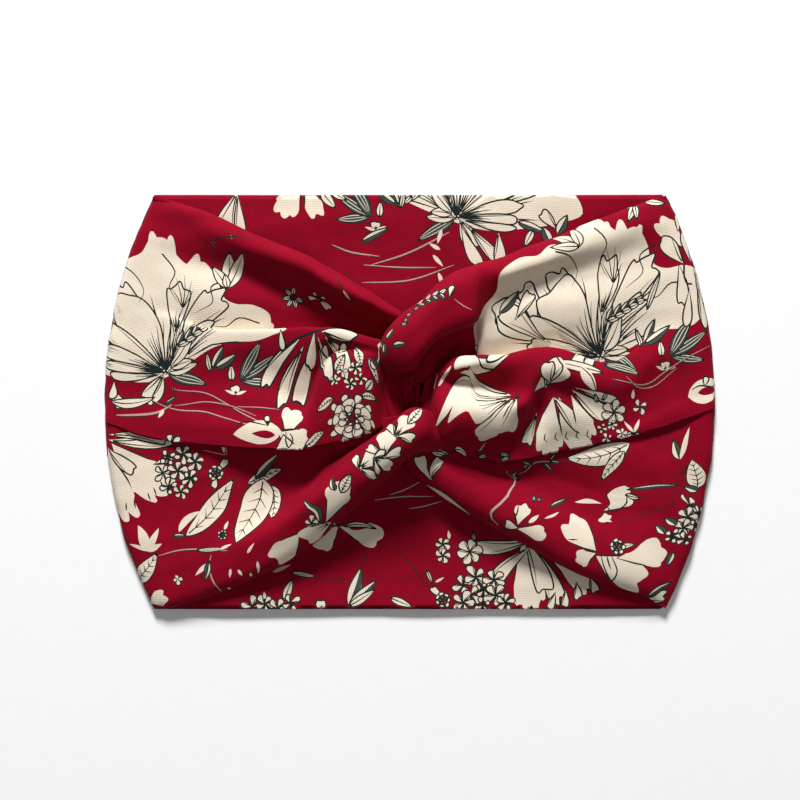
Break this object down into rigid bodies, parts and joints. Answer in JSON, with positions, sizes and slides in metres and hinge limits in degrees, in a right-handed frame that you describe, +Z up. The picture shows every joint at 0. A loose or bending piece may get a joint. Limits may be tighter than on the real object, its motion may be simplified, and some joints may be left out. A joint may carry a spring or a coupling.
{
  "type": "knotted headband",
  "caption": "Wide stretch headband of printed jersey, laid flat: interlocked folded loops knot at the front, joined at side seams to a flat back tube",
  "frame": {"origin": "under the middle of the band, on the surface that it lies on", "axes": "+X along the flat length towards the right side seam, +Y across the width towards the top fold, +Z up through the knot"},
  "size_m": [0.24, 0.163, 0.0285],
  "materials": {
    "printed_jersey": "matte knit",
    "seam_thread": "matte thread"
  },
  "bodies": {
    "back": {"back_panel": "printed_jersey", "back_panel_seam": "seam_thread", "left_side_seam": "seam_thread", "right_side_seam": "seam_thread"},
    "front": {"left_loop": "printed_jersey", "right_loop": "printed_jersey", "left_loop_seam": "seam_thread", "right_loop_seam": "seam_thread"}
  },
  "joints": [
    {"name": "front_lift", "type": "slide", "parent": "back", "child": "front", "axis": [0, 0, 1], "range_m": [0, 0.04], "stiffness_N_per_m": 20}
  ]
}
